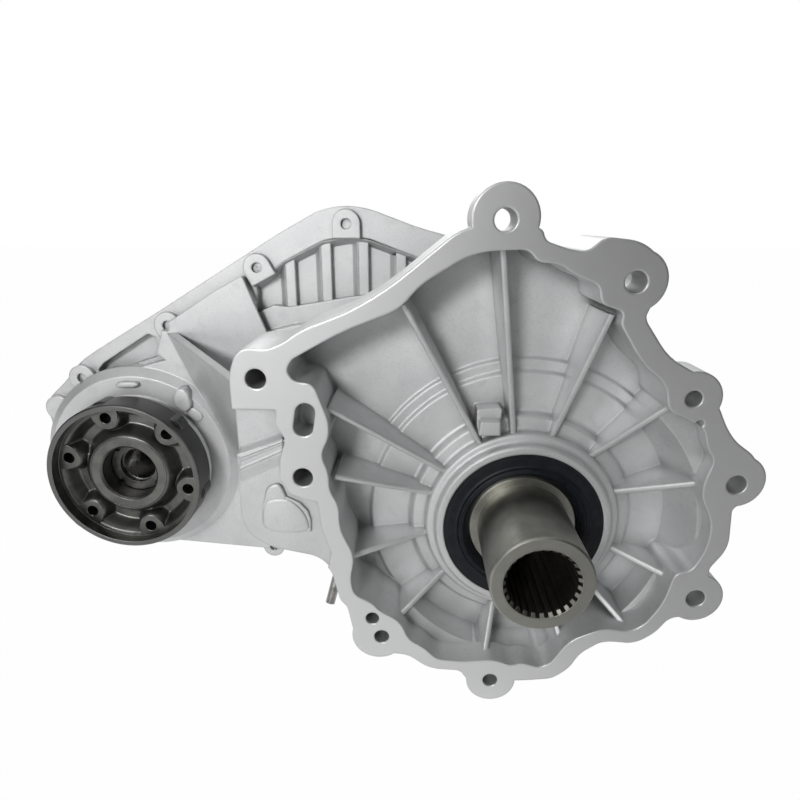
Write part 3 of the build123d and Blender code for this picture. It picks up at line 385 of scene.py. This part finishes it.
def tube_steel(book):
    at = book.place()
    x, y, z = book.split(at)
    normal, edge = rounded(book, 0.6 * MM)
    drift = book.noise(14 * MM, 4.0, 0.6, at)
    squeezed = book.node(
        "ShaderNodeMapping", {"vector_type": "POINT"}, {"Vector": at, "Scale": (20, 1500, 20)}
    )
    rings = book.noise(1.0, 2.0, 0.6, squeezed)
    speck = book.noise(1.3 * MM, 2.0, 0.7, at).ramp(0.62, 0.75)
    end = y.ramp(-36.9 * MM, -36.4 * MM, 1.0, 0.0)
    bore_shade = radius_about(x, z, (0.0, 0.0)).ramp(20.6 * MM, 21.6 * MM, 1.0, 0.0)
    tone = book.blend(drift.ramp(0.3, 0.7), (0.29, 0.288, 0.262, 1), (0.39, 0.385, 0.348, 1))
    tone = book.blend(speck * 0.3, tone, (0.14, 0.14, 0.13, 1))
    # Painted shade: inside the bore, within a radius of 20.6 mm, the steel is darkened towards
    # brown.
    tone = book.blend(bore_shade * 0.5, tone, (0.20, 0.185, 0.155, 1))
    tone = book.blend(end * 0.85, tone, (0.40, 0.40, 0.37, 1))
    tone = book.blend(edge * 0.5, tone, (0.50, 0.49, 0.45, 1))
    rough = 0.33 + drift * 0.14 + speck * 0.1 + end * 0.08
    return {
        "Base Color": tone, "Metallic": 1.0, "Roughness": rough,
        "Normal": bumped(book, normal, rings + speck * 0.5, 0.03 * MM, 0.4),
    }


TUBE = finish("ground_tube_steel", tube_steel)
print("tube finish ready")

# %% Flanges
F_AXIS = (-268.7 * MM, 2.6 * MM)


def flange_steel(centre, lip_y):
    def make(book):
        at = book.place()
        x, y, z = book.split(at)
        normal, edge = rounded(book, 0.7 * MM)
        corner = painted_corner_shade(book, 8 * MM)
        radius = radius_about(x, z, centre)
        drift = book.noise(11 * MM, 4.0, 0.6, at)
        grain = book.noise(0.8 * MM, 2.0, 0.6, at)
        wave = radius * 9000.0
        turned = wave.math("SINE", wave) * 0.5 + 0.5
        lip = y.ramp(lip_y + 0.2 * MM, lip_y + 0.5 * MM, 1.0, 0.0)
        tone = book.blend(drift.ramp(0.3, 0.7), (0.120, 0.120, 0.113, 1), (0.190, 0.190, 0.178, 1))
        tone = book.blend(grain.ramp(0.5, 0.8) * 0.3, tone, (0.25, 0.25, 0.235, 1))
        tone = book.blend(lip * 0.7, tone, grey(0.17, 0.0))
        # Painted dark reflection: the outer side, beyond a radius of 53.4 mm, is darkened to near
        # black.
        side = radius.ramp(53.4 * MM, 53.9 * MM)
        tone = book.blend(side * 0.8, tone, grey(0.035, -0.02))
        tone = book.blend(edge * (1 - corner) * 0.6, tone, grey(0.45, 0.01))
        # Painted shade: corners, found by ambient occlusion, are darkened to a warm near-black.
        tone = book.blend(corner * 0.5, tone, grey(0.045, 0.04))
        rough = 0.26 + drift * 0.16 + turned * 0.05 + lip * 0.04
        return {
            "Base Color": tone, "Metallic": 0.95, "Roughness": rough,
            "Normal": bumped(book, normal, turned * 0.4 + grain * 0.6, 0.05 * MM, 0.45),
        }
    return make


FRONT_FLANGE = finish("dark_companion_steel", flange_steel(F_AXIS, 76.7 * MM))
REAR_FLANGE = finish("dark_rear_flange_steel", flange_steel((0.0, 0.0), 266 * MM))
print("flange finishes ready")

# %% [markdown]
# ## Rubber, bearings, gears and fasteners
#
# Shaft seals are a stamped ring covered in nearly black rubber. Bearings and balls are
# mirror-ground, gears are brown-grey from hardening, bolts are zinc plated. Most of these
# are hidden from the front, yet each keeps a finish of its own for exploded views.

# %% Small finishes
def rubber(book):
    at = book.place()
    normal, _ = rounded(book, 0.5 * MM)
    drift = book.noise(6 * MM, 3.0, 0.6, at)
    dust = book.noise(0.7 * MM, 2.0, 0.7, at)
    tone = book.blend(drift.ramp(0.3, 0.7), (0.004, 0.005, 0.008, 1), (0.010, 0.012, 0.017, 1))
    tone = book.blend(dust.ramp(0.6, 0.85) * 0.25, tone, (0.035, 0.038, 0.045, 1))
    return {
        "Base Color": tone, "Roughness": 0.40 + drift * 0.16, "Metallic": 0.0,
        "Specular IOR Level": 0.3,
        "Normal": bumped(book, normal, dust, 0.04 * MM, 0.4),
    }


def plain_steel(low, high, rough_low, rough_high, warm=0.0, lump=5.0):
    def make(book):
        at = book.place()
        normal, edge = rounded(book, 0.4 * MM)
        drift = book.noise(lump * MM, 3.0, 0.6, at)
        fine = book.noise(0.5 * MM, 2.0, 0.6, at)
        tone = book.blend(drift.ramp(0.3, 0.7), grey(low, warm), grey(high, warm))
        tone = book.blend(edge * 0.4, tone, grey(min(high * 1.5, 0.8), warm * 0.5))
        return {
            "Base Color": tone, "Metallic": 1.0,
            "Roughness": rough_low + drift.ramp(0.25, 0.75) * (rough_high - rough_low),
            "Normal": bumped(book, normal, fine, 0.02 * MM, 0.3),
        }
    return make


SEAL = finish("seal_rubber_black", rubber)
RACE = finish("ground_bearing_steel", plain_steel(0.55, 0.66, 0.12, 0.24))
BALL = finish("polished_ball_steel", plain_steel(0.66, 0.74, 0.05, 0.10, lump=3.0))
GEAR = finish("hardened_gear_steel", plain_steel(0.20, 0.32, 0.26, 0.42, 0.04))
SHAFT = finish("turned_shaft_steel", plain_steel(0.30, 0.42, 0.24, 0.38, 0.015))
ZINC = finish("zinc_plated_steel", plain_steel(0.52, 0.66, 0.26, 0.42, -0.01))
NUT = finish("phosphated_nut_steel", plain_steel(0.10, 0.17, 0.34, 0.5, 0.02))
SPRING = finish("blued_spring_steel", plain_steel(0.10, 0.18, 0.22, 0.36, -0.03))
VENT = finish("vent_tube_steel", plain_steel(0.30, 0.45, 0.28, 0.42, 0.02))
print("small finishes ready")

# %% Give each CAD node its finish
# The first word that a node's name holds decides, so seal and clip stand before bearing.
BY_WORD = [
    ("front_housing", CAST_BELL), ("rear_housing", CAST_PLAIN), ("extension_housing", CAST_PLAIN),
    ("seal", SEAL), ("clip", SPRING), ("balls", BALL), ("bearing", RACE),
    ("input_shaft", TUBE), ("front_output_flange", FRONT_FLANGE),
    ("rear_output_flange", REAR_FLANGE),
    ("flange_nut", NUT), ("gear", GEAR), ("carrier", GEAR), ("pin", GEAR),
    ("shaft", SHAFT), ("bolts", ZINC), ("dowel", RACE), ("plug", ZINC), ("nipple", VENT),
]
for name, node in nodes.items():
    node.data.materials.clear()
    node.data.materials.append(next(coat for word, coat in BY_WORD if word in name))
print("finishes given to", len(nodes), "nodes")

# %% [markdown]
# ## Surfaces from numpy
#
# Each new piece is a surface worked out as arrays of points. The first helpers turn a grid
# of points into a mesh of quads, thicken an open surface and give an S curve. The last one
# makes a raised cast pad: an outline, drawn in, runs up a drafted wall and over a rounded
# edge to a flat top. Plain extrusion would leave the sharp corners that a casting never has.

# %% Surface and pad helpers
def as_piece(name, points, faces, coat, body, smooth=True):
    """A mesh object at the origin that rides on a body."""
    mesh = bpy.data.meshes.new(name)
    mesh.from_pydata(points.tolist(), [], faces)
    mesh.polygons.foreach_set("use_smooth", np.full(len(mesh.polygons), smooth))
    mesh.materials.append(coat)
    piece = bpy.data.objects.new(name, mesh)
    bpy.context.scene.collection.objects.link(piece)
    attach(piece, body)
    return piece


def thicken(piece, thickness):
    """Makes an open surface a closed skin, thickness in metres."""
    wall = piece.modifiers.new("wall", "SOLIDIFY")
    wall.thickness, wall.offset = thickness, -1.0


def s_curve(value):
    """0 below 0, 1 above 1, and 3 v^2 - 2 v^3 between."""
    value = np.clip(value, 0.0, 1.0)
    return value * value * (3 - 2 * value)


def quads_of(rows, columns, around):
    """Corner numbers of the quads of a grid, closed along its columns when around is true."""
    index = np.arange(rows * columns).reshape(rows, columns)
    if around:
        index = np.hstack([index, index[:, :1]])
    return np.stack([index[:-1, :-1], index[:-1, 1:], index[1:, 1:], index[1:, :-1]], axis=-1)


def cut_corners(loop, passes):
    """Chaikin's rule: every side of a closed loop keeps its middle half, so corners get round."""
    for _ in range(passes):
        ahead = np.roll(loop, -1, axis=0)
        pair = np.stack([0.75 * loop + 0.25 * ahead, 0.25 * loop + 0.75 * ahead], axis=1)
        loop = pair.reshape(-1, 2)
    return loop


def pad(name, outline, foot, top, edge, draft, passes):
    """A raised pad on a housing, outline in (x, z) and heights in y, all in mm.

    Ring 0 is the outline, moved out by draft times the height, at the foot. The next rings
    follow a quarter circle of radius edge: moved in by edge (1 - cos a), at height
    top + edge (1 - sin a), with a from 0 to 90 degrees. Flat faces close foot and top.
    """
    loop = cut_corners(np.array(outline, float), passes)
    ahead = np.roll(loop, -1, axis=0)
    area = (loop[:, 0] * ahead[:, 1] - ahead[:, 0] * loop[:, 1]).sum()
    loop = loop if area > 0 else loop[::-1]
    run = np.roll(loop, -1, axis=0) - np.roll(loop, 1, axis=0)
    inward = np.stack([-run[:, 1], run[:, 0]], axis=1) / np.linalg.norm(run, axis=1)[:, None]
    angle = np.radians([0.0, 22.5, 45.0, 67.5, 90.0])
    shift = np.concatenate([[-draft * (foot - top)], edge * (1 - np.cos(angle))])
    level = np.concatenate([[foot], top + edge * (1 - np.sin(angle))])
    flat = loop[None] + shift[:, None, None] * inward[None]
    depth = np.broadcast_to(level[:, None], flat.shape[:2])
    grid = np.stack([flat[..., 0], depth, flat[..., 1]], axis=-1)
    rows, columns = grid.shape[:2]
    faces = quads_of(rows, columns, True).reshape(-1, 4).tolist()
    faces.append(list(range((rows - 1) * columns, rows * columns)))
    faces.append(list(range(columns))[::-1])
    as_piece(name, grid.reshape(-1, 3) * MM, faces, CAST_PLAIN, "case")


print("surface helpers ready")

# %% [markdown]
# ## Small cast details on the front housing
#
# Between the milled face and the edge of the case lies a rough cast pad with a raised D and
# a tab above it. On the nose round the front output there are a short bar, a fin and a step.
# All of these are pads with their own outlines. The solid has one plain raised patch under
# the D, and the shapes on the nose are made here alone.

# %% Pads
LOW_DRAFT, STEEP_DRAFT = 0.5, 0.1
PAD_FOOT_Y = 2.4
D_OUTLINE = [
    (-150.6, 6.2), (-149.4, 21.6), (-147.6, 25.6), (-143.4, 27.2), (-136.2, 27.6),
    (-131.6, 24.8), (-127.2, 20.2), (-124.7, 14.6), (-123.8, 6.4),
]
TAB_OUTLINE = [
    (-148.4, 25), (-147.6, 31.4), (-144.8, 35.2), (-139.4, 36.4), (-137.0, 31.0), (-135.8, 26.4),
]
BAR_OUTLINE = [(-278.0, 60.8), (-262.4, 61.4), (-262.0, 65.2), (-277.6, 65.0)]
FIN_OUTLINE = [(-235.2, 60.8), (-238.6, 49.6), (-230.6, 42.6), (-225.0, 48.0), (-227.4, 60.6)]
STEP_OUTLINE = [(-227.0, 47.6), (-231.0, 41.0), (-222.6, 33.6), (-217.4, 40.4)]
pad("raised_d_patch", D_OUTLINE, foot=PAD_FOOT_Y, top=0.15, edge=0.9, draft=LOW_DRAFT, passes=2)
pad("d_patch_tab", TAB_OUTLINE, foot=PAD_FOOT_Y, top=0.55, edge=0.7, draft=LOW_DRAFT, passes=2)
pad("nose_bar", BAR_OUTLINE, foot=108, top=102.6, edge=0.6, draft=STEEP_DRAFT, passes=1)
pad("nose_fin", FIN_OUTLINE, foot=118, top=101.5, edge=0.6, draft=STEEP_DRAFT, passes=1)
pad("nose_step", STEP_OUTLINE, foot=118, top=104.5, edge=0.6, draft=STEEP_DRAFT, passes=1)
print("cast details made")

# %% [markdown]
# ## Drafted walls in the hump
#
# The pockets of the hump were cast with sloping walls: a flank runs down the left of every
# upright rib, and a chamfer runs under the rim. The solids have upright walls there. A
# flank is a strip between a line on top and a line on the floor, with a small curve between,
# so that it meets both without a crease. The strips are shaded flat, because the Bevel node
# already rounds the steps between their quads.

# %% Hump walls
SKIN = 0.3 * MM


def slope(name, upper, lower, upper_y, lower_y):
    """A strip from one line to another, both given in (x, z) with one depth each, in mm.

    Across it, t runs from 0 to 1. The place is (1 - t) upper + t lower, and the depth
    follows the S curve 3 t^2 - 2 t^3, so the strip is flat where it meets rim and floor.
    """
    t = np.linspace(0.0, 1.0, 7)[:, None]
    place = (1 - t[..., None]) * upper[None] + t[..., None] * lower[None]
    depth = np.broadcast_to(upper_y + (lower_y - upper_y) * s_curve(t), place.shape[:2])
    grid = np.stack([place[..., 0], depth, place[..., 1]], axis=-1)
    faces = quads_of(len(t), len(upper), False).reshape(-1, 4).tolist()
    piece = as_piece(name, grid.reshape(-1, 3) * MM, faces, CAST_PLAIN, "case", smooth=False)
    thicken(piece, SKIN)


RIB_TOP_Y, FLOOR_Y, RIM_Y = 122.9, 126.9, 119.8
RIB_FOOT_Z, RIB_HALF, FLANK_RUN = 99.0, 3.6, 4.4
RIBS = [(-152.5, 146), (-127, 159), (-101, 162), (-75, 152), (-49, 143)]
for number, (middle, high) in enumerate(RIBS, 1):
    heights = np.linspace(RIB_FOOT_Z, high, 9)
    side = np.stack([np.full_like(heights, middle - RIB_HALF), heights], 1)
    slope(f"hump_rib_flank_{number}", side, side - np.array([FLANK_RUN, 0.0]), RIB_TOP_Y, FLOOR_Y)
under_rim = np.array([
    (-176, 133.4), (-157, 148), (-128.5, 161.8), (-112, 164.6), (-96.6, 162.6), (-62, 150.2),
    (-34, 142.8), (-6, 128.6),
])
slope("hump_rim_wall", under_rim, under_rim + np.array([0.6, -5.0]), RIM_Y, FLOOR_Y)
print("hump walls made")

# %% [markdown]
# ## Two ledges on the cast pad
#
# The cast pad steps towards the eye twice, in two slanting ledges whose upper faces catch
# the lamp. Each is a pair of strips made as in the hump: one rises to a crest, and the
# other falls gently back to the pad.

# %% Ledges
LEDGE_X = np.linspace(-161.0, -136.4, 8)
PAD_Y = 2.35


def ledge(name, left_z, rise, behind_y, crest_y, run, back_run):
    """A strip up to a crest and one back to the pad, in mm.

    The top line is z = left_z + rise (x - the left end's x). The crest lies run below it
    and the foot back_run below the crest.
    """
    top = np.stack([LEDGE_X, left_z + (LEDGE_X - LEDGE_X[0]) * rise], 1)
    crest = top - np.array([0.0, run])
    slope(name, top, crest, behind_y, crest_y)
    slope(name + "_back", crest, crest - np.array([0.0, back_run]), crest_y, PAD_Y)


ledge("pad_ledge_upper", left_z=56.6, rise=0.405, behind_y=6.35, crest_y=1.5,
      run=5.6, back_run=3.0)
ledge("pad_ledge_lower", left_z=48.6, rise=0.465, behind_y=PAD_Y, crest_y=0.3,
      run=3.8, back_run=8.4)
print("ledges made")

# %% [markdown]
# ## The forged dish of the companion flange
#
# The companion flange was forged, and only its rim, seat and bore were turned afterwards.
# So the floor between hub, rim and the six bolt bosses runs in one flowing skin. The solid
# has the same hub, bosses and rim with upright walls. This skin lies over its floor: a
# depth for every radius and angle, the nearest to the eye of three slopes.

# %% Flange dish
HOLE_CIRCLE, FIRST_HOLE, HOLE_R = 43.0, math.radians(104.3), 4.0
SECTOR = math.radians(60.0)
SEAT_Y, DISH_Y, MIDDLE_Y = 85.1, 95.6, 90.0
HUB_R, HUB_RUN = 27.1, 9.0
RIM_R, RIM_RUN = 40.5, 7.6
BOSS_R, BOSS_RUN = 7.8, 5.4
SKIN_R = 48.3
SKIN_LIFT, BOSS_LIFT, LEAST_LIFT = 0.2, 0.5, 0.15
BLEND = 0.35


def dish_skin():
    """Depth y(r, angle) of the forged floor, in mm, and each point's distance to its hole.

    hub: from the seat at HUB_R down to the floor, HUB_RUN further out. rim: from the floor
    at RIM_R up to the seat. boss: from the seat at BOSS_R beside a boss's line down to the
    floor. A boss's line runs from its hole straight out. The skin is their soft minimum,
    -k log(sum of exp(-y / k)), which rounds the lines where two slopes meet.
    """
    rings = np.linspace(HUB_R, SKIN_R, 54)
    rays = np.linspace(0, 2 * np.pi, 300, endpoint=False)
    radius, angle = np.meshgrid(rings, rays, indexing="ij")
    drop = DISH_Y - SEAT_Y - SKIN_LIFT
    hub = SEAT_Y + SKIN_LIFT + drop * s_curve((radius - HUB_R) / HUB_RUN)
    rim = DISH_Y - drop * s_curve((radius - RIM_R) / RIM_RUN)
    off = (angle - FIRST_HOLE + SECTOR / 2) % SECTOR - SECTOR / 2
    along, aside = radius * np.cos(off), radius * np.sin(off)
    away = np.hypot(aside, np.maximum(HOLE_CIRCLE - along, 0.0))
    boss = SEAT_Y + BOSS_LIFT + drop * s_curve((away - BOSS_R) / BOSS_RUN)
    slopes = np.stack([hub, rim, boss]) - MIDDLE_Y
    depth = MIDDLE_Y - BLEND * np.log(np.exp(-slopes / BLEND).sum(axis=0))
    depth = np.maximum(depth, SEAT_Y + LEAST_LIFT)
    x = F_AXIS[0] / MM + radius * np.cos(angle)
    z = F_AXIS[1] / MM + radius * np.sin(angle)
    return np.stack([x, depth, z], axis=-1), np.hypot(along - HOLE_CIRCLE, aside)


skin, to_hole = dish_skin()
quads = quads_of(*skin.shape[:2], True)
open_ground = (to_hole.reshape(-1)[quads] > HOLE_R + 1.0).all(axis=-1)
dish = as_piece("flange_forged_dish", skin.reshape(-1, 3) * MM, quads[open_ground].tolist(),
                FRONT_FLANGE, "front_output")
thicken(dish, 0.1 * MM)
print("flange dish:", len(dish.data.polygons), "quads")

# %% [markdown]
# ## The face of the input seal
#
# The seal's rubber face is moulded with a few low rings, and a thin dust lip lies on the
# shaft. It is a profile of radius and depth turned about the input axis: each low ring is a
# bell curve over the radius, and an S curve lets the outer edge fall back.

# %% Seal face
def turned_skin(name, profile, coat, body, steps=180):
    """A closed (radius, y) profile in mm, turned about the input axis.

    A point of the profile goes round as x = r cos a, z = r sin a, with y as it is.
    """
    angle = np.linspace(0, 2 * np.pi, steps, endpoint=False)
    radius, depth = profile[:, 0], profile[:, 1]
    grid = np.stack([radius[:, None] * np.cos(angle), np.repeat(depth[:, None], steps, 1),
                     radius[:, None] * np.sin(angle)], axis=-1)
    rows = len(grid)
    faces = quads_of(rows + 1, steps, True) % (rows * steps)
    as_piece(name, grid.reshape(-1, 3) * MM, faces.reshape(-1, 4).tolist(), coat, body)


SEAL_IN_R, SEAL_OUT_R, SEAL_FACE_Y, SEAL_BACK_Y = 34.9, 46.6, 19.0, 19.9
RINGS = [(36.4, 0.9, 1.3), (39.6, 0.7, 0.7)]
EDGE_R, EDGE_RUN, EDGE_FALL = 44.5, 2.0, 0.25
across = np.linspace(SEAL_IN_R, SEAL_OUT_R, 60)
raised = sum(high * np.exp(-((across - middle) / wide) ** 2) for middle, wide, high in RINGS)
face_y = SEAL_FACE_Y - raised + EDGE_FALL * s_curve((across - EDGE_R) / EDGE_RUN)
front = np.stack([across, face_y], 1)
back = np.array([(SEAL_OUT_R, SEAL_BACK_Y), (SEAL_IN_R, SEAL_BACK_Y)])
turned_skin("seal_moulded_face", np.vstack([front, back]), SEAL, "case")
print("seal face made")
